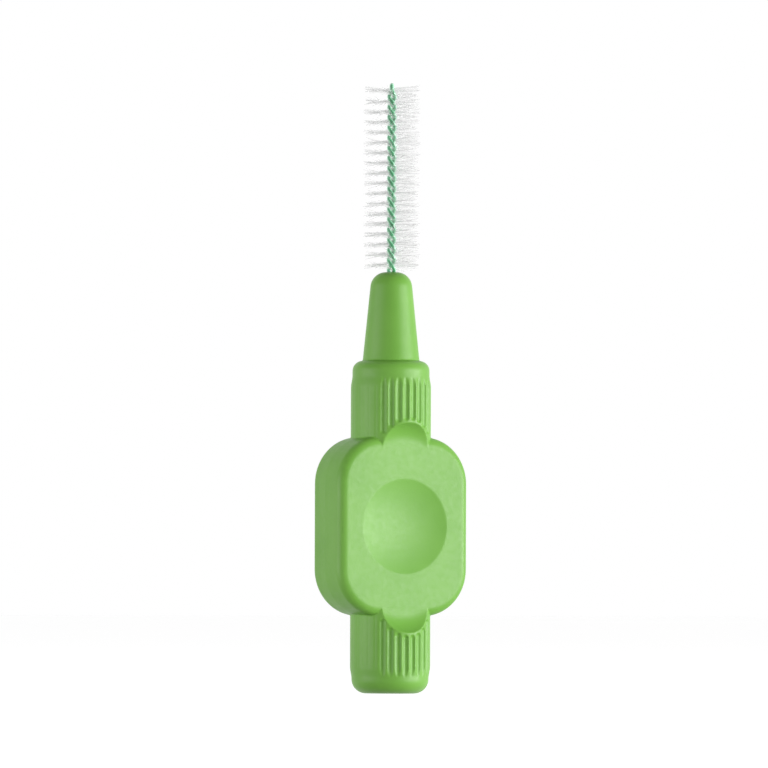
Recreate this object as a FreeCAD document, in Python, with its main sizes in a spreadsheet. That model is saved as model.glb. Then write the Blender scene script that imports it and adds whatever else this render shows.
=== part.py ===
import FreeCAD, Part
import math
import os
import Sketcher

# Interdental brush: a moulded handle with a fluted spigot at each end of a flat grip block,
# a plastic-coated wire folded at the tip and twisted, and nylon filaments held by the twist.
# The axis of the brush is Z, its tail stands on Z = 0 and the front of the grip faces -Y.

doc = FreeCAD.newDocument("InterdentalBrush")

# Driving dimensions: lengths in millimetres, angles in degrees, counts without a unit.
driving = [
    ("tail_length", "6.46"),
    ("collar_length", "6.38"),
    ("spigot_diameter", "6.47"),
    ("tail_end_round", "1.2"),
    ("collar_end_round", "0.85"),
    ("rib_setback", "1.4"),
    ("rib_ramp_length", "0.7"),
    ("rib_height", "0.13"),
    ("flute_pitch_angle", "11.25"),
    ("flutes_per_side", "8"),
    ("flute_width", "0.5"),
    ("flute_depth", "0.12"),
    ("block_width", "12.41"),
    ("block_height", "15.08"),
    ("block_thickness", "5.1"),
    ("block_corner_radius", "3.9"),
    ("block_edge_round", "0.75"),
    ("block_draft_angle", "1.5"),
    ("scoop_radius", "3.2"),
    ("scoop_floor_round", "0.9"),
    ("tail_scoop_setback", "1.85"),
    ("collar_scoop_setback", "2.06"),
    ("dish_diameter", "8"),
    ("dish_depth", "0.5"),
    ("dish_steps", "4"),
    ("neck_length", "7.46"),
    ("neck_tip_flat_diameter", "0.9"),
    ("neck_dome_radius", "1.31"),
    ("neck_dome_sweep_angle", "84"),
    ("round_steps", "4"),
    ("wire_exposed_length", "15.92"),
    ("wire_root_length", "4.6"),
    ("strand_diameter", "0.33"),
    ("core_diameter", "0.22"),
    ("strand_sides", "6"),
    ("core_sides", "6"),
    ("exposed_half_turns", "18.55"),
    ("twist_phase_angle", "185.4"),
    ("tip_fade_length", "0.6"),
    ("steps_per_turn", "8"),
    ("steps_per_bend", "6"),
    ("brush_diameter", "4.88"),
    ("bristle_start_gap", "0.13"),
    ("filament_diameter", "0.08"),
    ("filament_sides", "4"),
    ("pinch_clearance", "0.01"),
    ("seat_clearance", "0.01"),
    ("cut_overrun", "0.5"),
]

up = FreeCAD.Vector(0, 0, 1)
sheet = doc.addObject("Spreadsheet::Sheet", "Sizes")
for line, (alias, number) in enumerate(driving, start=1):
    sheet.set("A%d" % line, alias)
    sheet.set("B%d" % line, number)
    sheet.setAlias("B%d" % line, alias)
doc.recompute()


def size(alias):
    return float(sheet.get(alias))


def amount(formula):
    return float(sheet.evalExpression(formula))


# Heights, radii and angles that several features share, written as formulas on the sheet
block_bottom = "Sizes.tail_length"
block_middle = "(Sizes.tail_length + Sizes.block_height / 2)"
block_top = "(Sizes.tail_length + Sizes.block_height)"
shoulder = "(Sizes.tail_length + Sizes.block_height + Sizes.collar_length)"
neck_top = "(%s + Sizes.neck_length)" % shoulder
smooth_radius = "(Sizes.spigot_diameter / 2)"
rib_radius = "(Sizes.spigot_diameter / 2 + Sizes.rib_height)"
ramp_end = "(Sizes.rib_setback + Sizes.rib_ramp_length)"
half_thickness = "(Sizes.block_thickness / 2)"
half_spread = "(Sizes.flute_pitch_angle * (Sizes.flutes_per_side - 1) / 2)"


def origin_feature(body, role):
    return next(f for f in body.Origin.OriginFeatures if f.Role == role)


def new_sketch(body, name, role):
    sketch = body.newObject("Sketcher::SketchObject", name)
    sketch.AttachmentSupport = [(origin_feature(body, role), "")]
    sketch.MapMode = "FlatFace"
    return sketch


def tie_point(sketch, geometry, end, across, along):
    # Holds one point of a sketch at two formulas, or on an axis where the formula is zero.
    for kind, formula, axis in (("DistanceX", across, -2), ("DistanceY", along, -1)):
        if formula == "0":
            sketch.addConstraint(Sketcher.Constraint("PointOnObject", geometry, end, axis))
            continue
        held = Sketcher.Constraint(kind, -1, 1, geometry, end, amount(formula))
        index = sketch.addConstraint(held)
        sketch.setExpression("Constraints[%d]" % index, formula)


def left_turning_arc(start, finish, radius):
    chord = finish.sub(start)
    reach = math.sqrt(max(radius ** 2 - (chord.Length / 2) ** 2, 0))
    left = FreeCAD.Vector(-chord.y, chord.x, 0).normalize()
    centre = (start + finish) * 0.5 + left * reach
    angles = [math.atan2(p.y - centre.y, p.x - centre.x) for p in (start, finish)]
    return Part.ArcOfCircle(Part.Circle(centre, up, radius), angles[0], angles[1])


def draw_outline(sketch, corners):
    # Each corner is (across, along) or, where an arc leaves it to the left, (across, along, radius).
    points = [FreeCAD.Vector(amount(c[0]), amount(c[1]), 0) for c in corners]
    edges = []
    for index, corner in enumerate(corners):
        start = points[index]
        finish = points[(index + 1) % len(points)]
        if len(corner) == 2:
            edges.append(sketch.addGeometry(Part.LineSegment(start, finish), False))
            continue
        radius = corner[2]
        edges.append(sketch.addGeometry(left_turning_arc(start, finish, amount(radius)), False))
        held = sketch.addConstraint(Sketcher.Constraint("Radius", edges[-1], amount(radius)))
        sketch.setExpression("Constraints[%d]" % held, radius)
    for index, corner in enumerate(corners):
        sketch.addConstraint(Sketcher.Constraint("Coincident", edges[index - 1], 2, edges[index], 1))
        tie_point(sketch, edges[index], 1, corner[0], corner[1])


def round_corners(across, along, radius, first, last):
    # Corners on a round about a centre, from one angle to another, measured from the first axis.
    steps = int(size("round_steps"))
    corners = []
    for n in range(steps + 1):
        angle = "(%s + (%s - %s) * %d / Sizes.round_steps)" % (first, last, first, n)
        corners.append((
            "(%s + %s * cos(%s))" % (across, radius, angle),
            "(%s + %s * sin(%s))" % (along, radius, angle),
        ))
    return corners


def rounded_rectangle(sketch, inset):
    half_width = "(Sizes.block_width / 2 - %s)" % inset
    half_height = "(Sizes.block_height / 2 - %s)" % inset
    corner = "(Sizes.block_corner_radius - %s)" % inset
    flat_width = "(%s - %s)" % (half_width, corner)
    flat_height = "(%s - %s)" % (half_height, corner)
    draw_outline(sketch, [
        ("-" + flat_width, "-" + half_height),
        (flat_width, "-" + half_height, corner),
        (half_width, "-" + flat_height),
        (half_width, flat_height, corner),
        (flat_width, half_height),
        ("-" + flat_width, half_height, corner),
        ("-" + half_width, flat_height),
        ("-" + half_width, "-" + flat_height, corner),
    ])


def build_block(body):
    # Flat grip: outlines from face to face, widest at the parting line, with rounded rims.
    edge = "Sizes.block_edge_round"
    slope = "tan(Sizes.block_draft_angle)"
    steps = int(size("round_steps"))
    stages = []
    for side in ("-", ""):
        rim = []
        for n in range(steps + 1):
            angle = "(90 * %d / Sizes.round_steps)" % n
            depth = "(%s - %s + %s * sin(%s))" % (half_thickness, edge, edge, angle)
            inset = "(%s * %s + %s * (1 - cos(%s)))" % (depth, slope, edge, angle)
            rim.append((side + depth, inset))
        stages += rim[::-1] + [("0", "0")] if side else rim
    sketches = []
    for n, (depth, inset) in enumerate(stages, start=1):
        sketch = new_sketch(body, "BlockOutline%d" % n, "XZ_Plane")
        sketch.setExpression("AttachmentOffset.Base.y", block_middle)
        sketch.setExpression("AttachmentOffset.Base.z", depth)
        rounded_rectangle(sketch, inset)
        sketches.append(sketch)
    block = body.newObject("PartDesign::AdditiveLoft", "Block")
    block.Profile = sketches[0]
    block.Sections = sketches[1:]
    block.Ruled = True


def build_spigots_and_neck(body):
    # Tail spigot, collar spigot and tapered neck, turned about the axis in one profile.
    tail = "Sizes.tail_end_round"
    collar = "Sizes.collar_end_round"
    flat = "(Sizes.neck_tip_flat_diameter / 2)"
    dome = "Sizes.neck_dome_radius"
    dome_start = "(90 - Sizes.neck_dome_sweep_angle)"
    corners = [("0", "0")]
    corners += round_corners("(%s - %s)" % (smooth_radius, tail), tail, tail, "-90", "0")
    corners += [
        (smooth_radius, "Sizes.rib_setback"),
        (rib_radius, ramp_end),
        (rib_radius, "(%s - %s)" % (shoulder, ramp_end)),
        (smooth_radius, "(%s - Sizes.rib_setback)" % shoulder),
    ]
    corners += round_corners(
        "(%s - %s)" % (smooth_radius, collar), "(%s - %s)" % (shoulder, collar), collar, "0", "90")
    corners += round_corners(flat, "(%s - %s)" % (neck_top, dome), dome, dome_start, "90")
    corners += [("0", neck_top)]
    sketch = new_sketch(body, "SpigotSketch", "XZ_Plane")
    draw_outline(sketch, corners)
    turned = body.newObject("PartDesign::Revolution", "SpigotsAndNeck")
    turned.Profile = sketch
    turned.ReferenceAxis = (sketch, ["V_Axis"])
    turned.Angle = 360


def mirror_to_back(body, feature):
    mirrored = body.newObject("PartDesign::Mirrored", feature.Name + "Back")
    mirrored.Originals = [feature]
    mirrored.MirrorPlane = (origin_feature(body, "XZ_Plane"), [""])
    body.Tip = mirrored


def cut_scoops(body):
    # The flat of the grip runs on into both spigots and ends there in a round hollow.
    edge = "Sizes.scoop_floor_round"
    reach = "(%s + %s + Sizes.cut_overrun)" % (half_thickness, edge)
    low = "(%s + Sizes.tail_scoop_setback)" % block_bottom
    high = "(%s - Sizes.collar_scoop_setback)" % block_top
    sketch = new_sketch(body, "FlatSketch", "YZ_Plane")
    draw_outline(sketch, [
        ("-" + half_thickness, low),
        ("-" + half_thickness, high),
        ("-" + reach, high),
        ("-" + reach, low),
    ])
    flat = body.newObject("PartDesign::Pocket", "Flat")
    flat.Profile = sketch
    flat.SideType = "Symmetric"
    flat.setExpression("Length", "2 * %s + Sizes.cut_overrun" % rib_radius)
    mirror_to_back(body, flat)
    centre = ("-(%s + %s)" % (half_thickness, edge), "(Sizes.scoop_radius - %s)" % edge)
    for name, level in (("TailScoop", low), ("CollarScoop", high)):
        corners = [("-" + reach, "0"), ("-" + half_thickness, "0")]
        corners += round_corners(centre[0], centre[1], edge, "0", "90")
        corners.append(("-" + reach, "Sizes.scoop_radius"))
        sketch = new_sketch(body, name + "Sketch", "YZ_Plane")
        sketch.setExpression("AttachmentOffset.Base.y", level)
        draw_outline(sketch, corners)
        scoop = body.newObject("PartDesign::Groove", name)
        scoop.Profile = sketch
        scoop.ReferenceAxis = (sketch, ["H_Axis"])
        scoop.Angle = 360
        mirror_to_back(body, scoop)


def cut_dishes(body):
    # Shallow round hollow for finger and thumb on both faces, with the curve of a large ball.
    rim = "(Sizes.dish_diameter / 2)"
    ball = "((%s ^ 2 + Sizes.dish_depth ^ 2) / (2 * Sizes.dish_depth))" % rim
    air = "-(%s + Sizes.cut_overrun)" % half_thickness
    corners = [(air, "0")]
    for n in range(int(size("dish_steps")) + 1):
        out = "(%s * %d / Sizes.dish_steps)" % (rim, n)
        rise = "(%s - sqrt(%s ^ 2 - %s ^ 2))" % (ball, ball, out)
        corners.append(("-(%s - Sizes.dish_depth + %s)" % (half_thickness, rise), out if n else "0"))
    corners.append((air, rim))
    sketch = new_sketch(body, "DishSketch", "YZ_Plane")
    sketch.setExpression("AttachmentOffset.Base.y", block_middle)
    draw_outline(sketch, corners)
    dish = body.newObject("PartDesign::Groove", "Dish")
    dish.Profile = sketch
    dish.ReferenceAxis = (sketch, ["H_Axis"])
    dish.Angle = 360
    mirror_to_back(body, dish)


def cut_flutes(body, name, start, length):
    # One flute and the one opposite, cut along Z up to the grip, then repeated on both sides.
    root = "(%s - Sizes.flute_depth)" % rib_radius
    outside = "(%s + Sizes.cut_overrun)" % rib_radius
    half_mouth = "(Sizes.flute_width / 2 * (1 + Sizes.cut_overrun / Sizes.flute_depth))"
    sketch = new_sketch(body, name + "Sketch", "XY_Plane")
    turned = FreeCAD.Rotation(up, -amount(half_spread))
    sketch.AttachmentOffset = FreeCAD.Placement(FreeCAD.Vector(), turned)
    sketch.setExpression("AttachmentOffset.Base.z", start)
    sketch.setExpression("AttachmentOffset.Rotation.Angle", "-" + half_spread)
    draw_outline(sketch, [
        ("0", "-" + root),
        ("-" + half_mouth, "-" + outside),
        (half_mouth, "-" + outside),
    ])
    draw_outline(sketch, [
        ("0", root),
        (half_mouth, outside),
        ("-" + half_mouth, outside),
    ])
    flute = body.newObject("PartDesign::Pocket", name)
    flute.Profile = sketch
    flute.Reversed = True
    flute.setExpression("Length", length)
    pattern = body.newObject("PartDesign::PolarPattern", name + "Pattern")
    pattern.Originals = [flute]
    pattern.Axis = (origin_feature(body, "Z_Axis"), [""])
    pattern.setExpression("Angle", "2 * " + half_spread)
    pattern.setExpression("Occurrences", "Sizes.flutes_per_side")
    body.Tip = pattern


def build_handle_body():
    body = doc.addObject("PartDesign::Body", "HandleMoulding")
    build_block(body)
    build_spigots_and_neck(body)
    doc.recompute()
    solid_volume = body.Shape.Volume
    cut_scoops(body)
    cut_dishes(body)
    cut_flutes(body, "TailFlute", "Sizes.rib_setback", "Sizes.tail_length - Sizes.rib_setback")
    cut_flutes(body, "CollarFlute", block_top, "Sizes.collar_length - Sizes.rib_setback")
    doc.recompute()
    print("handle", round(solid_volume, 3), "mm3 before its cuts,", round(body.Shape.Volume, 3), "after")
    return body


# Values of the twisted wire, read from the sheet
half_turn = size("wire_exposed_length") / size("exposed_half_turns")
strand_radius = size("strand_diameter") / 2
core_radius = size("core_diameter") / 2
fade_length = size("tip_fade_length")
neck_level = amount(neck_top)
root_level = neck_level - size("wire_root_length")
tip_level = neck_level + size("wire_exposed_length")
half_step = math.pi / size("steps_per_turn")
# The strands leave room for one filament between them, also midway between two steps of the twist.
pinch_radius = strand_radius + size("filament_diameter") / 2 + size("pinch_clearance")
strand_offset = pinch_radius / math.cos(half_step)
bend_level = tip_level - strand_offset - strand_radius
turn_rate = -math.pi / half_turn


def twist_at(level):
    # Angle of the pair of strands and its rate: a steady left-hand twist that dies out at the tip.
    past = max(level - bend_level + fade_length, 0)
    angle = math.radians(size("twist_phase_angle")) + turn_rate * (level - neck_level)
    angle -= turn_rate * past ** 2 / (2 * fade_length)
    return angle, turn_rate * (1 - past / fade_length)


def across_at(angle):
    return FreeCAD.Vector(math.cos(angle), math.sin(angle), 0)


def strand_point(level, side):
    # Centre of one strand and the direction that it runs upwards.
    angle, rate = twist_at(level)
    outward = across_at(angle) * side
    run = up + up.cross(outward) * (strand_offset * rate)
    return outward * strand_offset + up * level, run.normalize()


def hairpin_path():
    # Up one strand, over the bend at the tip and down the other strand.
    count = math.ceil((bend_level - root_level) / (2 * half_turn) * size("steps_per_turn"))
    levels = [root_level + (bend_level - root_level) * n / count for n in range(count + 1)]
    path = [strand_point(level, 1) for level in levels]
    outward = across_at(twist_at(bend_level)[0])
    bend_steps = int(size("steps_per_bend"))
    for n in range(1, bend_steps):
        turn = math.pi * n / bend_steps
        away = outward * math.cos(turn) + up * math.sin(turn)
        run = up * math.cos(turn) - outward * math.sin(turn)
        path.append((away * strand_offset + up * bend_level, run))
    for level in reversed(levels):
        centre, run = strand_point(level, -1)
        path.append((centre, run * -1))
    return path


def hairpin_stations():
    # Each point of the path with a direction square to it, carried along without spin.
    stations = []
    beside = across_at(twist_at(root_level)[0])
    for centre, run in hairpin_path():
        beside = (beside - run * beside.dot(run)).normalize()
        stations.append((centre, run, beside))
    return stations


stations = hairpin_stations()


def ring(station, radius, sides):
    # Polygon of wire section, square to the wire.
    centre, run, beside = station
    third = run.cross(beside)
    angles = [2 * math.pi * n / sides for n in range(sides)]
    points = [centre + beside * (radius * math.cos(a)) + third * (radius * math.sin(a)) for a in angles]
    return Part.makePolygon(points + points[:1])


def strand_rings(some_stations, radius):
    return [ring(station, radius, int(size("strand_sides"))) for station in some_stations]


def core_rings():
    return [ring(station, core_radius, int(size("core_sides"))) for station in stations]


def add_shape(label, shape):
    feature = doc.addObject("Part::Feature", label)
    feature.Label = label
    feature.Shape = shape
    feature.Placement = FreeCAD.Placement()
    return feature


def build_wire_core():
    return add_shape("wire_core", Part.makeLoft(core_rings(), True, True))


def build_wire_coating():
    # A tube from one cut end of the hairpin to the other, closed by a flat ring at each end.
    outer = strand_rings(stations, strand_radius)
    inner = core_rings()
    bore = [face.reversed() for face in Part.makeLoft(inner, False, True).Faces]
    ends = [Part.Face(outer[n]).cut(Part.Face(inner[n])).Faces[0] for n in (0, -1)]
    skin = Part.Compound(Part.makeLoft(outer, False, True).Faces + bore + ends)
    skin.sewShape()
    tube = Part.Solid(skin)
    if tube.Volume < 0:
        tube.reverse()
    return add_shape("wire_coating", tube)


def build_root_cavity():
    # The hollow that the moulding leaves round the two buried strands.
    clearance = size("seat_clearance")
    limit = neck_level + size("cut_overrun")
    middle = len(stations) // 2
    strands = []
    for leg in (stations[:middle], stations[:middle:-1]):
        centre, run, beside = leg[0]
        deeper = run * (clearance if run.z < 0 else -clearance)
        buried = [(centre + deeper, run, beside)]
        buried += [station for station in leg[1:] if station[0].z < limit]
        strands.append(Part.makeLoft(strand_rings(buried, strand_radius + clearance), True, True))
    return add_shape("root_cavity", Part.makeCompound(strands))


def build_handle():
    handle = doc.addObject("Part::Cut", "handle")
    handle.Base = build_handle_body()
    handle.Tool = build_root_cavity()
    handle.Label = "handle"
    return handle


def add_filament(name, level):
    # One straight filament through the axis, square to the line between the two strands.
    along = up.cross(across_at(twist_at(level)[0]))
    filament = doc.addObject("Part::Prism", name)
    filament.setExpression("Polygon", "Sizes.filament_sides")
    filament.setExpression("Circumradius", "Sizes.filament_diameter / 2")
    filament.setExpression("Height", "Sizes.brush_diameter")
    start = up * level - along * (size("brush_diameter") / 2)
    filament.Placement = FreeCAD.Placement(start, FreeCAD.Rotation(up, along))
    return filament


def build_bristle_rows():
    # Each row is the filaments caught in one half turn of the wire, one above the other.
    per_row = int(half_turn / (size("filament_diameter") + size("pinch_clearance")))
    spacing = half_turn / per_row
    start = neck_level + size("bristle_start_gap")
    count = int((bend_level - size("filament_diameter") - start) / spacing)
    rows = []
    for first in range(0, count, per_row):
        label = "bristle_row_%02d" % (len(rows) + 1)
        row = doc.addObject("Part::Compound", label)
        row.Label = label
        row.Links = [
            add_filament("filament_%03d" % (n + 1), start + spacing * (n + 0.5))
            for n in range(first, min(first + per_row, count))
        ]
        rows.append(row)
    return rows


nodes = [build_handle(), build_wire_core(), build_wire_coating()] + build_bristle_rows()
doc.recompute()

for item in doc.Objects:
    if "Invalid" in item.State or "Error" in item.State:
        raise RuntimeError("%s failed: %s" % (item.Name, item.State))
for node in nodes:
    if node.Shape.isNull() or not node.Shape.isValid():
        raise RuntimeError("%s has no valid shape" % node.Label)

os.makedirs("parts", exist_ok=True)
for node in nodes:
    node.Shape.exportStep("parts/%s.step" % node.Label)
    print(node.Label, len(node.Shape.Solids), "solids", round(node.Shape.Volume, 3), "mm3")
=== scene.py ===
import math
import random
import bmesh
import bpy
from mathutils import Matrix, Vector


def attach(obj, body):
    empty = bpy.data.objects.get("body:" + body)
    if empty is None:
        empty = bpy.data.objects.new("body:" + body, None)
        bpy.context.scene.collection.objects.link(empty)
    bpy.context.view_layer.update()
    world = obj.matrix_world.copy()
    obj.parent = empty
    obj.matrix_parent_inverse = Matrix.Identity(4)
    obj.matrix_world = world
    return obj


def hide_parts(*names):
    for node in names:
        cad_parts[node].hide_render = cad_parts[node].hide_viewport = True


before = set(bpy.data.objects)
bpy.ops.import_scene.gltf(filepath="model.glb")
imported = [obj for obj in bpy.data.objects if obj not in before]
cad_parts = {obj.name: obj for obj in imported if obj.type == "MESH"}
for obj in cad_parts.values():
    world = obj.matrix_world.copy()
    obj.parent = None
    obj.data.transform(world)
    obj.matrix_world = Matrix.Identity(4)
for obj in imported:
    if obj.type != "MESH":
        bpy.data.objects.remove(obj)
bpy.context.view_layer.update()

scene = bpy.context.scene
scene.view_settings.view_transform = "Standard"
print("frame loaded:", len(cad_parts), "nodes")

# Pieces are modelled in millimetres and brought down to metres when they are done.
mm = 0.001


def deselectAll():
    if bpy.context.object and bpy.context.object.mode != "OBJECT":
        bpy.ops.object.mode_set(mode="OBJECT")
    bpy.ops.object.select_all(action="DESELECT")


def makeActive(piece):
    deselectAll()
    piece.select_set(True)
    bpy.context.view_layer.objects.active = piece


def startEdit(piece, mode="FACE"):
    makeActive(piece)
    bpy.ops.object.mode_set(mode="EDIT")
    bpy.ops.mesh.select_mode(type=mode)
    bpy.ops.mesh.select_all(action="DESELECT")
    return bmesh.from_edit_mesh(piece.data)


def endEdit():
    bpy.ops.object.mode_set(mode="OBJECT")


def nameActive(name):
    piece = bpy.context.object
    piece.name = name
    piece.data.name = name
    return piece


def applyTransform(piece):
    makeActive(piece)
    bpy.ops.object.transform_apply(location=True, rotation=True, scale=True)


def cutOrJoin(piece, other, operation):
    makeActive(piece)
    change = piece.modifiers.new(operation.lower(), "BOOLEAN")
    change.operation = operation
    change.solver = "EXACT"
    change.object = other
    bpy.ops.object.modifier_apply(modifier=change.name)
    bpy.data.objects.remove(other, do_unlink=True)


def joinAll(pieces, name):
    deselectAll()
    for piece in pieces:
        piece.select_set(True)
    bpy.context.view_layer.objects.active = pieces[0]
    bpy.ops.object.join()
    return nameActive(name)


def toMetres(piece):
    makeActive(piece)
    piece.scale = (mm, mm, mm)
    bpy.ops.object.transform_apply(location=True, rotation=True, scale=True)


def triangleCount(piece):
    return sum(len(face.vertices) - 2 for face in piece.data.polygons)


def turnedSolid(name, stations, sides):
    # Starts with a disc and goes up the axis by extruding and scaling it, station by station.
    deselectAll()
    height, radius = stations[0]
    bpy.ops.mesh.primitive_circle_add(
        vertices=sides, radius=radius, fill_type="NGON", location=(0, 0, height))
    piece = nameActive(name)
    applyTransform(piece)
    startEdit(piece)
    bpy.ops.mesh.select_all(action="SELECT")
    for nextHeight, nextRadius in stations[1:]:
        bpy.ops.mesh.extrude_region_move(TRANSFORM_OT_translate={"value": (0, 0, nextHeight - height)})
        grow = nextRadius / radius
        bpy.ops.transform.resize(value=(grow, grow, 1), center_override=(0, 0, nextHeight))
        height, radius = nextHeight, nextRadius
    bpy.ops.mesh.select_all(action="SELECT")
    bpy.ops.mesh.normals_make_consistent(inside=False)
    endEdit()
    return piece


def quarterRound(height, radius, roundRadius, first, last, steps):
    # Stations on a round about a centre at that height and radius, angles from the horizontal.
    angles = [math.radians(first + (last - first) * n / steps) for n in range(steps + 1)]
    return [(height + roundRadius * math.sin(a), radius + roundRadius * math.cos(a)) for a in angles]


# Handle: one moulding with a grip block, two fluted spigots and a tapered neck
handleSizes = {
    "tailLength": 6.46, "collarLength": 6.38, "smoothRadius": 3.235, "ribRadius": 3.365,
    "tailRound": 1.2, "collarRound": 0.85, "ribSetback": 1.4, "ramp": 0.7, "rampBlend": 0.15,
    "blockWidth": 12.41, "blockHeight": 15.08, "blockThickness": 5.1,
    "blockCorner": 3.9, "blockRim": 0.75, "draftDegrees": 1.5,
    "neckLength": 7.46, "neckFlat": 0.45, "neckDome": 1.31, "domeSweep": 84,
    "scoopRadius": 4.0, "scoopRound": 2.0, "scoopWiden": 1.3,
    "tailScoopSetback": 2.261, "collarScoopSetback": 2.471,
    "scoopSink": 0.01, "dishRadius": 4.0, "dishDepth": 0.5,
    "fluteStep": 11.25, "flutesPerSide": 8, "fluteRadius": 0.3, "fluteDepth": 0.16, "fluteStop": 0.16,
    "flankRadius": 0.25, "flankDepth": 0.022,
    "sides": 128, "cornerSteps": 24, "rimSteps": 10, "scoopSteps": 24,
    "tailSteps": 12, "collarSteps": 10, "domeSteps": 12, "rampSteps": 8,
    "dishRings": 192, "rodSides": 16, "rodRings": 8, "overlap": 1, "hair": 1e-4,
    "voxel": 0.075, "smoothShare": 0.5, "smoothRounds": 3, "keepShare": 0.4,
}
handleSizes["blockTop"] = handleSizes["tailLength"] + handleSizes["blockHeight"]
handleSizes["blockMiddle"] = handleSizes["tailLength"] + handleSizes["blockHeight"] / 2
handleSizes["shoulder"] = handleSizes["blockTop"] + handleSizes["collarLength"]
handleSizes["tailScoop"] = handleSizes["tailLength"] + handleSizes["tailScoopSetback"]
handleSizes["collarScoop"] = handleSizes["blockTop"] - handleSizes["collarScoopSetback"]


def makeBlock(s):
    deselectAll()
    middle = s["blockMiddle"]
    bpy.ops.mesh.primitive_cube_add(
        size=1, location=(0, 0, middle), scale=(s["blockWidth"], s["blockThickness"], s["blockHeight"]))
    block = nameActive("gripBlock")
    applyTransform(block)
    startEdit(block)
    bpy.ops.mesh.select_all(action="SELECT")
    bpy.ops.mesh.bisect(plane_co=(0, 0, 0), plane_no=(0, 1, 0))  # parting line
    bm = startEdit(block)
    for face in bm.faces:
        face.select = abs(face.normal.y) > 0.9
    bmesh.update_edit_mesh(block.data)
    inset = s["blockThickness"] * math.tan(math.radians(s["draftDegrees"]))
    bpy.ops.transform.resize(
        value=(1 - inset / s["blockWidth"], 1, 1 - inset / s["blockHeight"]), center_override=(0, 0, middle))
    bm = startEdit(block, "EDGE")
    for edge in bm.edges:
        along = edge.verts[0].co - edge.verts[1].co
        edge.select = abs(along.y) > 0.9 * along.length
    bmesh.update_edit_mesh(block.data)
    bpy.ops.mesh.bevel(offset=s["blockCorner"], segments=s["cornerSteps"], profile=0.5, affect="EDGES")
    bm = startEdit(block, "EDGE")
    for edge in bm.edges:
        flat = [abs(face.normal.y) > 0.9 for face in edge.link_faces]
        edge.select = any(flat) and not all(flat)
    bmesh.update_edit_mesh(block.data)
    bpy.ops.mesh.bevel(offset=s["blockRim"], segments=s["rimSteps"], profile=0.5, affect="EDGES")
    endEdit()
    return block


def rampStations(s):
    # Soft rise from the smooth band to the crests of the ribs, measured from the spigot's end.
    low = s["ribSetback"] - s["rampBlend"]
    length = s["ramp"] + 2 * s["rampBlend"]
    rise = s["ribRadius"] - s["smoothRadius"]
    shares = [n / s["rampSteps"] for n in range(s["rampSteps"] + 1)]
    return [(low + length * x, s["smoothRadius"] + rise * x * x * (3 - 2 * x)) for x in shares]


def makeSpigotsAndNeck(s):
    shoulder = s["shoulder"]
    top = shoulder + s["neckLength"]
    ramp = rampStations(s)
    stations = quarterRound(
        s["tailRound"], s["smoothRadius"] - s["tailRound"], s["tailRound"], -90, 0, s["tailSteps"])
    stations += ramp
    stations += [(shoulder - height, radius) for height, radius in reversed(ramp)]
    stations += quarterRound(
        shoulder - s["collarRound"], s["smoothRadius"] - s["collarRound"], s["collarRound"],
        0, 90, s["collarSteps"])
    stations += quarterRound(
        top - s["neckDome"], s["neckFlat"], s["neckDome"], 90 - s["domeSweep"], 90, s["domeSteps"])
    return turnedSolid("spigotsAndNeck", stations, s["sides"])


def makeScoop(s, side):
    # A bar that levels the spigots with the grip's face, and a disc with a rounded floor at each end.
    inner = s["blockThickness"] / 2 - s["scoopSink"]
    depth = s["scoopRound"] + s["overlap"]
    low, high = s["tailScoop"], s["collarScoop"]
    middle = side * (inner + depth / 2)
    deselectAll()
    bpy.ops.mesh.primitive_cube_add(
        size=1, location=(0, middle, (low + high) / 2), scale=(3 * s["ribRadius"], depth, high - low))
    bar = nameActive("scoopBar")
    applyTransform(bar)
    for level in (low, high):
        deselectAll()
        bpy.ops.mesh.primitive_cylinder_add(
            vertices=s["sides"], radius=s["scoopRadius"], depth=depth, location=(0, middle, level),
            rotation=(math.pi / 2, 0, 0))
        disc = nameActive("scoopDisc")
        applyTransform(disc)
        bm = startEdit(disc, "EDGE")
        for edge in bm.edges:
            edge.select = all(abs(abs(vert.co.y) - inner) < s["hair"] for vert in edge.verts)
        bmesh.update_edit_mesh(disc.data)
        bpy.ops.mesh.bevel(offset=s["scoopRound"], segments=s["scoopSteps"], profile=0.5, affect="EDGES")
        bpy.ops.mesh.select_all(action="SELECT")
        bpy.ops.transform.resize(value=(s["scoopWiden"], 1, 1), center_override=(0, 0, 0))
        endEdit()
        cutOrJoin(bar, disc, "UNION")
    return bar


def makeDishBall(s, side):
    ball = (s["dishRadius"] ** 2 + s["dishDepth"] ** 2) / (2 * s["dishDepth"])
    deselectAll()
    bpy.ops.mesh.primitive_uv_sphere_add(
        segments=s["sides"], ring_count=s["dishRings"], radius=ball, rotation=(math.pi / 2, 0, 0),
        location=(0, side * (s["blockThickness"] / 2 - s["dishDepth"] + ball), s["blockMiddle"]))
    piece = nameActive("dishBall")
    applyTransform(piece)
    return piece


def makeFlute(name, radius, depth, azimuth, low, high, s):
    # Round-ended rod that lies along the spigot and takes its flute out of it.
    deselectAll()
    bpy.ops.mesh.primitive_uv_sphere_add(
        segments=s["rodSides"], ring_count=s["rodRings"], radius=radius, location=(0, 0, low + radius))
    rod = nameActive(name)
    applyTransform(rod)
    bm = startEdit(rod)
    for face in bm.faces:
        face.select = all(vert.co.z > low + radius - s["hair"] for vert in face.verts)
    bmesh.update_edit_mesh(rod.data)
    bpy.ops.mesh.extrude_region_move(TRANSFORM_OT_translate={"value": (0, 0, high - low - 2 * radius)})
    endEdit()
    out = s["ribRadius"] - depth + radius
    turn = math.radians(azimuth)
    rod.location = (math.sin(turn) * out, -math.cos(turn) * out, 0)
    applyTransform(rod)
    return rod


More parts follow.
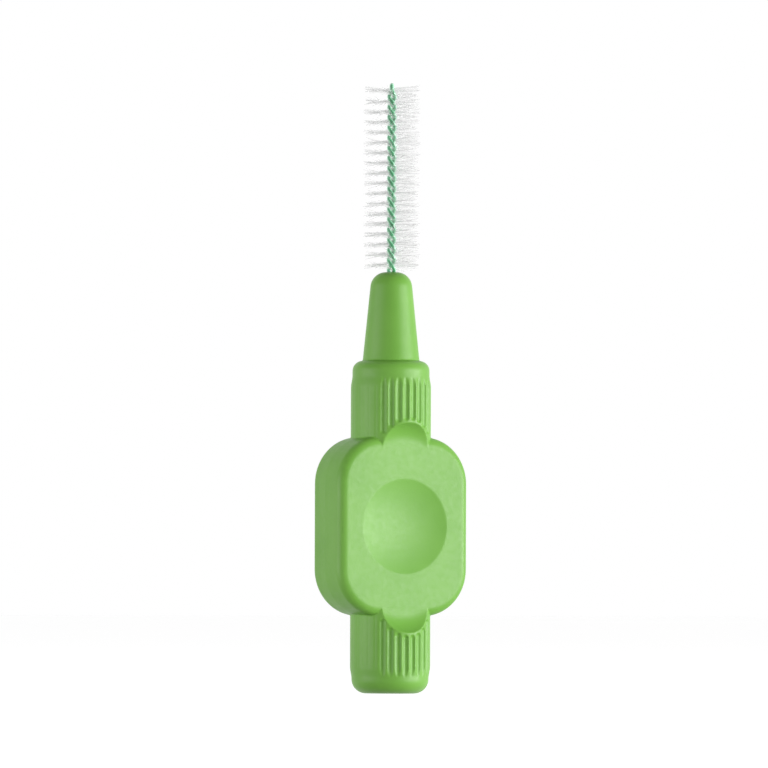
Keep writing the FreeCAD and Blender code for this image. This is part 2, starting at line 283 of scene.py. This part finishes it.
def scoopEdge(s, azimuth):
    # How far the hollow scoop reaches along the spigot from its centre, at that angle from the face.
    out = s["ribRadius"] * math.sin(math.radians(azimuth)) / s["scoopWiden"]
    sunk = s["ribRadius"] * math.cos(math.radians(azimuth)) - s["blockThickness"] / 2
    if sunk <= 0:
        return 0
    wall = min(sunk, s["scoopRound"])
    inset = s["scoopRound"] - math.sqrt(s["scoopRound"] ** 2 - (s["scoopRound"] - wall) ** 2)
    return math.sqrt(max((s["scoopRadius"] - inset) ** 2 - out ** 2, 0))


def makeFlutes(s):
    rods = []
    bottom, top = s["tailLength"], s["blockTop"]
    first, last = s["ribSetback"] - s["rampBlend"], s["shoulder"] - s["ribSetback"] + s["rampBlend"]
    for n in range(s["flutesPerSide"]):
        azimuth = s["fluteStep"] * (n - (s["flutesPerSide"] - 1) / 2)
        edge = scoopEdge(s, azimuth)
        tailEnd = min(s["tailScoop"] - edge, bottom) - s["fluteStop"]
        collarEnd = max(s["collarScoop"] + edge, top) + s["fluteStop"]
        for turn in (0, 180):
            for low, high in ((first, tailEnd), (collarEnd, last)):
                rods.append(makeFlute(
                    "flute", s["fluteRadius"], s["fluteDepth"], azimuth + turn, low, high, s))
        for turn in (90, 270):
            for low, high in ((first, bottom + s["overlap"]), (top - s["overlap"], last)):
                rods.append(makeFlute(
                    "flankFlute", s["flankRadius"], s["flankDepth"], azimuth + turn, low, high, s))
    return joinAll(rods, "flutes")


def makeHandle(s):
    handle = makeSpigotsAndNeck(s)
    for side in (-1, 1):
        cutOrJoin(handle, makeScoop(s, side), "DIFFERENCE")
    cutOrJoin(handle, makeFlutes(s), "DIFFERENCE")
    cutOrJoin(handle, makeBlock(s), "UNION")
    for side in (-1, 1):
        cutOrJoin(handle, makeDishBall(s, side), "DIFFERENCE")
    print("handle cut:", triangleCount(handle), "triangles")
    makeActive(handle)
    handle.data.remesh_voxel_size = s["voxel"]
    handle.data.remesh_voxel_adaptivity = 0
    bpy.ops.object.voxel_remesh()
    soften = handle.modifiers.new("soften", "SMOOTH")
    soften.factor = s["smoothShare"]
    soften.iterations = s["smoothRounds"]
    bpy.ops.object.modifier_apply(modifier=soften.name)
    print("handle remeshed:", triangleCount(handle), "triangles")
    thin = handle.modifiers.new("thin", "DECIMATE")
    thin.ratio = s["keepShare"]
    bpy.ops.object.modifier_apply(modifier=thin.name)
    bpy.ops.object.shade_smooth()
    toMetres(handle)
    return nameActive("mouldedHandle")


handle = makeHandle(handleSizes)
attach(handle, "root")
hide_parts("handle")
print("handle done:", triangleCount(handle), "triangles")

# Wire: a coated hairpin, twisted left-handed, with its bend at the tip
wireSizes = {
    "neckTop": 35.38, "exposed": 15.92, "root": 4.6, "strandRadius": 0.165,
    "strandOffset": 0.2327, "halfTurns": 18.55, "phaseDegrees": 185.4, "fade": 0.6,
    "stepsPerHalfTurn": 14, "bendSteps": 10, "sectionSteps": 4, "weld": 1e-4, "shadeDegrees": 50,
}
wireSizes["halfTurn"] = wireSizes["exposed"] / wireSizes["halfTurns"]
wireSizes["tip"] = wireSizes["neckTop"] + wireSizes["exposed"]
wireSizes["bend"] = wireSizes["tip"] - wireSizes["strandOffset"] - wireSizes["strandRadius"]


def twistAt(level, s=wireSizes):
    # Angle of the pair of strands at a height: a steady twist that dies out towards the bend.
    rate = -math.pi / s["halfTurn"]
    past = max(level - s["bend"] + s["fade"], 0)
    steady = math.radians(s["phaseDegrees"]) + rate * (level - s["neckTop"])
    return steady - rate * past ** 2 / (2 * s["fade"])


def makeWire(s):
    low = s["neckTop"] - s["root"]
    steps = round((s["bend"] - low) / s["halfTurn"] * s["stepsPerHalfTurn"])
    levels = [low + (s["bend"] - low) * n / steps for n in range(steps + 1)]
    across = lambda level: Vector((math.cos(twistAt(level)), math.sin(twistAt(level)), 0))
    points = [across(z) * s["strandOffset"] + Vector((0, 0, z)) for z in levels]
    out = across(s["bend"])
    for n in range(1, s["bendSteps"]):
        turn = math.pi * n / s["bendSteps"]
        points.append((out * math.cos(turn) + Vector((0, 0, math.sin(turn)))) * s["strandOffset"]
                      + Vector((0, 0, s["bend"])))
    points += [across(z) * -s["strandOffset"] + Vector((0, 0, z)) for z in reversed(levels)]
    path = bpy.data.curves.new("coatedWire", "CURVE")
    path.dimensions = "3D"
    path.bevel_depth = s["strandRadius"]
    path.bevel_resolution = s["sectionSteps"]
    path.use_fill_caps = True
    spline = path.splines.new("POLY")
    spline.points.add(len(points) - 1)
    for spot, point in zip(spline.points, points):
        spot.co = (*point, 1)
    wire = bpy.data.objects.new("coatedWire", path)
    scene.collection.objects.link(wire)
    makeActive(wire)
    bpy.ops.object.convert(target="MESH")
    wire = nameActive("coatedWire")
    startEdit(wire)
    bpy.ops.mesh.select_all(action="SELECT")
    bpy.ops.mesh.remove_doubles(threshold=s["weld"])
    bpy.ops.mesh.normals_make_consistent(inside=False)
    endEdit()
    bpy.ops.object.shade_smooth_by_angle(angle=math.radians(s["shadeDegrees"]))
    toMetres(wire)
    return wire


wire = makeWire(wireSizes)
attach(wire, "root")
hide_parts("wire_coating")
print("wire done:", triangleCount(wire), "triangles")

# Filaments: one row to each half turn of the wire, pinched between the strands
bristleSizes = {
    "rows": 18, "perRow": 60, "length": 4.88, "radius": 0.014, "sides": 5,
    "startGap": 0.13, "endGap": 0.08, "cuts": (-1.7, -0.9, 0, 0.9, 1.7),
    "leanDegrees": 6.0, "topLeanDegrees": 12.0, "facing": -28.5,
    "turnSpread": 0.20, "rootSpread": 0.06, "tipSpread": 0.14, "lengthSpread": 0.14,
    "shadeDegrees": 80, "seed": 18545,
}


def makeFilament(s):
    deselectAll()
    bpy.ops.mesh.primitive_cylinder_add(
        vertices=s["sides"], radius=s["radius"], depth=s["length"], end_fill_type="NGON",
        rotation=(0, math.pi / 2, 0))
    filament = nameActive("filament")
    applyTransform(filament)
    for cut in s["cuts"]:
        startEdit(filament)
        bpy.ops.mesh.select_all(action="SELECT")
        bpy.ops.mesh.bisect(plane_co=(cut, 0, 0), plane_no=(1, 0, 0))
    endEdit()
    return filament


def makeBristles(s, w):
    # Copies of one filament in an array, each turned with the wire and left a little astray.
    chance = random.Random(s["seed"])
    filament = makeFilament(s)
    rest = [vert.co.copy() for vert in filament.data.vertices]
    start = w["neckTop"] + s["startGap"]
    end = w["bend"] - s["endGap"]
    spacing = w["halfTurn"] / s["perRow"]
    total = int((end - start) / spacing)
    face = math.radians(s["facing"])
    toViewer = Vector((math.sin(face), -math.cos(face), 0))
    rows = []
    for row in range(s["rows"]):
        first = row * s["perRow"]
        count = min(s["perRow"], total - first)
        makeActive(filament)
        bpy.ops.object.duplicate()
        piece = nameActive("bristles_%02d" % (row + 1))
        copies = piece.modifiers.new("copies", "ARRAY")
        copies.count = count
        copies.relative_offset_displace = (0, 0, 1)
        bpy.ops.object.modifier_apply(modifier=copies.name)
        for n in range(count):
            level = start + spacing * (first + n + 0.5) + chance.uniform(-1, 1) * s["rootSpread"]
            high = max(level - start, 0) / (end - start)
            angle = twistAt(level) + math.pi / 2 + chance.gauss(0, s["turnSpread"])
            along = Vector((math.cos(angle), math.sin(angle), 0))
            side = Vector((-along.y, along.x, 0))
            lean = s["leanDegrees"] + (s["topLeanDegrees"] - s["leanDegrees"]) * high ** 3
            slope = math.tan(math.radians(lean)) * along.dot(toViewer)
            reach = {sign: 1 - abs(chance.gauss(0, s["lengthSpread"])) for sign in (-1, 1)}
            stray = {sign: (chance.gauss(0, s["tipSpread"]), chance.gauss(0, s["tipSpread"]))
                     for sign in (-1, 1)}
            for k, point in enumerate(rest):
                sign = 1 if point.x > 0 else -1
                x = point.x * reach[sign]
                bow = (2 * point.x / s["length"]) ** 2
                place = along * x + side * (point.y + stray[sign][0] * bow)
                place.z = level + point.z + slope * x + stray[sign][1] * bow
                piece.data.vertices[n * len(rest) + k].co = place
        bpy.ops.object.shade_smooth_by_angle(angle=math.radians(s["shadeDegrees"]))
        toMetres(piece)
        rows.append(piece)
    bpy.data.objects.remove(filament, do_unlink=True)
    return rows


bristleRows = makeBristles(bristleSizes, wireSizes)
for number, piece in enumerate(bristleRows, start=1):
    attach(piece, "root")
    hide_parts("bristle_row_%02d" % number)
    piece.visible_shadow = False  # clear nylon lets the light through
    piece.visible_diffuse = False
print("bristles done:", sum(triangleCount(piece) for piece in bristleRows), "triangles")


# Materials
def newGroup(name, inputs, outputs):
    group = bpy.data.node_groups.new(name, "ShaderNodeTree")
    for label, kind, value in inputs:
        socket = group.interface.new_socket(label, in_out="INPUT", socket_type=kind)
        socket.default_value = value
    for label, kind in outputs:
        group.interface.new_socket(label, in_out="OUTPUT", socket_type=kind)
    start = group.nodes.new("NodeGroupInput")
    finish = group.nodes.new("NodeGroupOutput")
    start.location = (-800, 0)
    finish.location = (600, 0)
    return group, start, finish


def addNode(tree, kind, spot):
    node = tree.nodes.new(kind)
    node.location = spot
    return node


def addMath(tree, operation, spot):
    node = addNode(tree, "ShaderNodeMath", spot)
    node.operation = operation
    return node


def addRange(tree, spot, fromMin, fromMax, toMin, toMax):
    node = addNode(tree, "ShaderNodeMapRange", spot)
    node.inputs["From Min"].default_value = fromMin
    node.inputs["From Max"].default_value = fromMax
    node.inputs["To Min"].default_value = toMin
    node.inputs["To Max"].default_value = toMax
    return node


grainSizes = {
    "grain": 9000.0, "grainDetail": 3, "drift": 260.0, "driftDetail": 2, "speckle": 2400, "speckleDetail": 4,
}


def makeMouldGrain(s):
    # Fine spark grain of the mould, with slow drifts of tone and gloss over it.
    group, start, finish = newGroup("mouldGrain", [
        ("Grain Size", "NodeSocketFloat", s["grain"]),
        ("Drift Size", "NodeSocketFloat", s["drift"]),
    ], [("Height", "NodeSocketFloat"), ("Drift", "NodeSocketFloat"), ("Speckle", "NodeSocketFloat")])
    link = group.links.new
    spot = addNode(group, "ShaderNodeTexCoord", (-800, -200))
    grain = addNode(group, "ShaderNodeTexNoise", (-500, 200))
    grain.inputs["Detail"].default_value = s["grainDetail"]
    drift = addNode(group, "ShaderNodeTexNoise", (-500, -100))
    drift.inputs["Detail"].default_value = s["driftDetail"]
    speckle = addNode(group, "ShaderNodeTexNoise", (-500, -400))
    speckle.inputs["Scale"].default_value = s["speckle"]
    speckle.inputs["Detail"].default_value = s["speckleDetail"]
    for node in (grain, drift, speckle):
        link(spot.outputs["Object"], node.inputs["Vector"])
    link(start.outputs["Grain Size"], grain.inputs["Scale"])
    link(start.outputs["Drift Size"], drift.inputs["Scale"])
    link(grain.outputs["Fac"], finish.inputs["Height"])
    link(drift.outputs["Fac"], finish.inputs["Drift"])
    link(speckle.outputs["Fac"], finish.inputs["Speckle"])
    return group


mouldGrain = makeMouldGrain(grainSizes)


def newMaterial(name):
    material = bpy.data.materials.new(name)
    material.use_nodes = True
    return material, material.node_tree, material.node_tree.nodes["Principled BSDF"]


def addGrain(tree, driftSize):
    grain = addNode(tree, "ShaderNodeGroup", (-900, 0))
    grain.node_tree = mouldGrain
    grain.inputs["Drift Size"].default_value = driftSize
    return grain


def addTone(tree, grain, look):
    # Two tones of the same colour that drift into each other.
    tone = addNode(tree, "ShaderNodeValToRGB", (-600, 200))
    low, high = tone.color_ramp.elements
    low.position, low.color = look["deepAt"], look["deep"]
    high.position, high.color = look["paleAt"], look["pale"]
    tree.links.new(grain.outputs["Drift"], tone.inputs["Fac"])
    return tone


def addBump(tree, shader, height, look):
    bump = addNode(tree, "ShaderNodeBump", (-400, -350))
    bump.inputs["Strength"].default_value = look["bumpStrength"]
    bump.inputs["Distance"].default_value = look["bumpDepth"]
    tree.links.new(height, bump.inputs["Height"])
    tree.links.new(bump.outputs["Normal"], shader.inputs["Normal"])


handleLook = {
    "deep": (0.165, 0.420, 0.050, 1), "pale": (0.187, 0.453, 0.062, 1), "deepAt": 0.35, "paleAt": 0.65,
    "driftSize": 260.0, "speckLow": 0.3, "speckHigh": 0.7, "roughLow": 0.38, "roughHigh": 0.48,
    "specular": 0.38, "bumpStrength": 0.25, "bumpDepth": 0.000004,
}


def makeHandlePlastic(look):
    material, tree, shader = newMaterial("satinGreenPlastic")
    link = tree.links.new
    grain = addGrain(tree, look["driftSize"])
    tone = addTone(tree, grain, look)
    gloss = addRange(
        tree, (-600, -100), look["speckLow"], look["speckHigh"], look["roughLow"], look["roughHigh"])
    link(tone.outputs["Color"], shader.inputs["Base Color"])
    link(grain.outputs["Speckle"], gloss.inputs["Value"])
    link(gloss.outputs["Result"], shader.inputs["Roughness"])
    addBump(tree, shader, grain.outputs["Height"], look)
    shader.inputs["Specular IOR Level"].default_value = look["specular"]
    return material


coatLook = {
    "deep": (0.006, 0.170, 0.050, 1), "pale": (0.020, 0.300, 0.100, 1), "deepAt": 0.35, "paleAt": 0.65,
    # edge is the colour of a painted highlight, mixed in on the sides of the wire that turn away.
    "edge": (0.420, 0.930, 0.600, 1), "paintedHighlightStart": 0.06, "paintedHighlightEnd": 0.55, "driftSize": 1400,
    "rough": 0.18, "specular": 0.5, "coat": 1.0, "coatRough": 0.1,
    "bumpStrength": 0.15, "bumpDepth": 0.000003,
}


def makeCoatPlastic(look):
    # Painted highlight: the clear coat's colour is mixed towards pale mint where the wire turns away from
    # the camera, and stays dark over its core.
    material, tree, shader = newMaterial("glossyWireCoat")
    link = tree.links.new
    grain = addGrain(tree, look["driftSize"])
    tone = addTone(tree, grain, look)
    turned = addNode(tree, "ShaderNodeLayerWeight", (-900, 400))
    turned.inputs["Blend"].default_value = 0.5
    share = addRange(tree, (-600, 450), look["paintedHighlightStart"], look["paintedHighlightEnd"], 0, 1)
    paintedHighlightMix = addNode(tree, "ShaderNodeMixRGB", (-300, 300))
    paintedHighlightMix.inputs["Color2"].default_value = look["edge"]
    link(turned.outputs["Facing"], share.inputs["Value"])
    link(share.outputs["Result"], paintedHighlightMix.inputs["Fac"])
    link(tone.outputs["Color"], paintedHighlightMix.inputs["Color1"])
    link(paintedHighlightMix.outputs["Color"], shader.inputs["Base Color"])
    addBump(tree, shader, grain.outputs["Speckle"], look)
    shader.inputs["Roughness"].default_value = look["rough"]
    shader.inputs["Specular IOR Level"].default_value = look["specular"]
    shader.inputs["Coat Weight"].default_value = look["coat"]
    shader.inputs["Coat Roughness"].default_value = look["coatRough"]
    return material


nylonLook = {
    "deep": (0.88, 0.882, 0.882, 1), "pale": (0.94, 0.942, 0.942, 1), "deepAt": 0.3, "paleAt": 0.7,
    "driftSize": 900, "rough": 0.35, "alpha": 0.35, "through": 0.5, "bend": 1.1,
}


def makeNylon(look):
    material, tree, shader = newMaterial("clearWhiteNylon")
    tone = addTone(tree, addGrain(tree, look["driftSize"]), look)
    tree.links.new(tone.outputs["Color"], shader.inputs["Base Color"])
    shader.inputs["Roughness"].default_value = look["rough"]
    shader.inputs["Alpha"].default_value = look["alpha"]
    shader.inputs["Transmission Weight"].default_value = look["through"]
    shader.inputs["IOR"].default_value = look["bend"]
    return material


steelLook = {"colour": (0.62, 0.62, 0.60, 1), "roughLow": 0.25, "roughHigh": 0.45, "driftSize": 260.0}


def makeSteel(look):
    material, tree, shader = newMaterial("drawnSteel")
    grain = addGrain(tree, look["driftSize"])
    gloss = addRange(tree, (-600, -100), 0, 1, look["roughLow"], look["roughHigh"])
    tree.links.new(grain.outputs["Speckle"], gloss.inputs["Value"])
    tree.links.new(gloss.outputs["Result"], shader.inputs["Roughness"])
    shader.inputs["Base Color"].default_value = look["colour"]
    shader.inputs["Metallic"].default_value = 1
    return material


def dress(piece, material):
    piece.data.materials.clear()
    piece.data.materials.append(material)


dress(handle, makeHandlePlastic(handleLook))
dress(wire, makeCoatPlastic(coatLook))
nylon = makeNylon(nylonLook)
for piece in bristleRows:
    dress(piece, nylon)
steel = makeSteel(steelLook)
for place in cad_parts["wire_core"].material_slots:
    place.material = steel
print("materials done")

# Stage: white floor, two softboxes and the camera of the photograph
stageSizes = {
    "facing": -28.5, "distance": 0.8, "cameraHeight": 0.008, "frame": 0.0645, "sensor": 36,
    "aimHeight": 0.02598, "aimAside": -0.000585, "roll": 0.2, "clipStart": 0.01, "clipEnd": 20,
    "horizonLight": 0.60, "zenithLight": 0.04, "horizonRise": 0.1, "zenithRise": 0.6,
    "backShare": 1.5, "backStart": 0.2, "backFull": -0.5,
    "rightTurn": 72, "rightPower": 3.1, "rightSize": (0.45, 0.2),
    "leftTurn": -70, "leftPower": 1.15, "leftSize": (0.45, 0.3),
    "lampDistance": 0.5, "lampHeight": 0.026,
    "floorSize": 6, "floorColour": (0.8, 0.8, 0.8, 1), "floorRough": 0.9, "floorSpecular": 0.1,
    "floorLift": 0.82,
}


def around(azimuth, distance, height):
    turn = math.radians(azimuth)
    return Vector((math.sin(turn) * distance, -math.cos(turn) * distance, height))


def makeCamera(s):
    camera = bpy.data.objects.new("camera", bpy.data.cameras.new("camera"))
    scene.collection.objects.link(camera)
    turn = math.radians(s["facing"])
    aside = Vector((math.cos(turn), math.sin(turn), 0)) * s["aimAside"]
    camera.location = around(s["facing"], s["distance"], s["cameraHeight"]) + aside
    aim = Vector((0, 0, s["aimHeight"])) + aside
    look = (aim - camera.location).to_track_quat("-Z", "Y")
    camera.rotation_euler = (look.to_matrix() @ Matrix.Rotation(math.radians(s["roll"]), 3, "Z")).to_euler()
    camera.data.sensor_width = s["sensor"]
    camera.data.lens = s["sensor"] * s["distance"] / s["frame"]
    camera.data.clip_start = s["clipStart"]
    camera.data.clip_end = s["clipEnd"]
    scene.camera = camera


def makeLamp(name, turn, power, size, s):
    lamp = bpy.data.lights.new(name, "AREA")
    lamp.shape = "RECTANGLE"
    lamp.size, lamp.size_y = size
    lamp.energy = power
    piece = bpy.data.objects.new(name, lamp)
    scene.collection.objects.link(piece)
    piece.location = around(s["facing"] + turn, s["lampDistance"], s["lampHeight"])
    aim = Vector((0, 0, s["lampHeight"]))
    piece.rotation_euler = (aim - piece.location).to_track_quat("-Z", "Y").to_euler()
    piece.visible_camera = False  # it stands behind the brush in some views
    piece.visible_transmission = False


def makeWorld(s):
    # The room is bright round the horizon, most behind, where no lamp stands, and dim above and below.
    # The camera and reflections see it white.
    world = bpy.data.worlds.new("studio")
    world.use_nodes = True
    scene.world = world
    tree = world.node_tree
    link = tree.links.new
    sky = tree.nodes["Background"]
    sky.inputs["Color"].default_value = (1, 1, 1, 1)
    spot = addNode(tree, "ShaderNodeTexCoord", (-1100, -200))
    parts = addNode(tree, "ShaderNodeSeparateXYZ", (-900, -200))
    height = addMath(tree, "ABSOLUTE", (-720, -200))
    room = addRange(
        tree, (-540, -200), s["horizonRise"], s["zenithRise"], s["horizonLight"], s["zenithLight"])
    ahead = addNode(tree, "ShaderNodeVectorMath", (-900, -500))
    ahead.operation = "DOT_PRODUCT"
    ahead.inputs[1].default_value = around(s["facing"], 1, 0)
    back = addRange(tree, (-720, -500), s["backStart"], s["backFull"], 1, s["backShare"])
    both = addMath(tree, "MULTIPLY", (-400, -300))
    seen = addNode(tree, "ShaderNodeLightPath", (-900, 150))
    mirrored = addMath(tree, "MAXIMUM", (-720, 150))
    anyOf = addMath(tree, "MAXIMUM", (-540, 150))
    level = addRange(tree, (-300, 0), 0, 1, 0, 1)
    link(spot.outputs["Generated"], parts.inputs["Vector"])
    link(parts.outputs["Z"], height.inputs[0])
    link(height.outputs["Value"], room.inputs["Value"])
    link(seen.outputs["Is Glossy Ray"], mirrored.inputs[0])
    link(seen.outputs["Is Transmission Ray"], mirrored.inputs[1])
    link(seen.outputs["Is Camera Ray"], anyOf.inputs[0])
    link(mirrored.outputs["Value"], anyOf.inputs[1])
    link(anyOf.outputs["Value"], level.inputs["Value"])
    link(spot.outputs["Generated"], ahead.inputs[0])
    link(ahead.outputs["Value"], back.inputs["Value"])
    link(room.outputs["Result"], both.inputs[0])
    link(back.outputs["Result"], both.inputs[1])
    link(both.outputs["Value"], level.inputs["To Min"])
    link(level.outputs["Result"], sky.inputs["Strength"])


def makeFloor(s):
    # Lifted just to white for the camera where it is lit, so that the shadow stays.
    deselectAll()
    bpy.ops.mesh.primitive_plane_add(size=s["floorSize"], location=(0, 0, 0))
    floor = nameActive("floor")
    material, tree, shader = newMaterial("paleFloor")
    link = tree.links.new
    shader.inputs["Base Color"].default_value = s["floorColour"]
    shader.inputs["Roughness"].default_value = s["floorRough"]
    shader.inputs["Specular IOR Level"].default_value = s["floorSpecular"]
    seen = addNode(tree, "ShaderNodeLightPath", (-500, -300))
    lift = addMath(tree, "MULTIPLY", (-300, -300))
    lift.inputs[1].default_value = s["floorLift"]
    link(seen.outputs["Is Camera Ray"], lift.inputs[0])
    shader.inputs["Emission Color"].default_value = (1, 1, 1, 1)
    link(lift.outputs["Value"], shader.inputs["Emission Strength"])
    dress(floor, material)
    floor.visible_diffuse = False
    floor.visible_glossy = False
    floor.visible_shadow = False


makeCamera(stageSizes)
for hand in ("right", "left"):
    makeLamp(hand + "Softbox", stageSizes[hand + "Turn"], stageSizes[hand + "Power"],
             stageSizes[hand + "Size"], stageSizes)
makeWorld(stageSizes)
makeFloor(stageSizes)
print("stage done")

deselectAll()
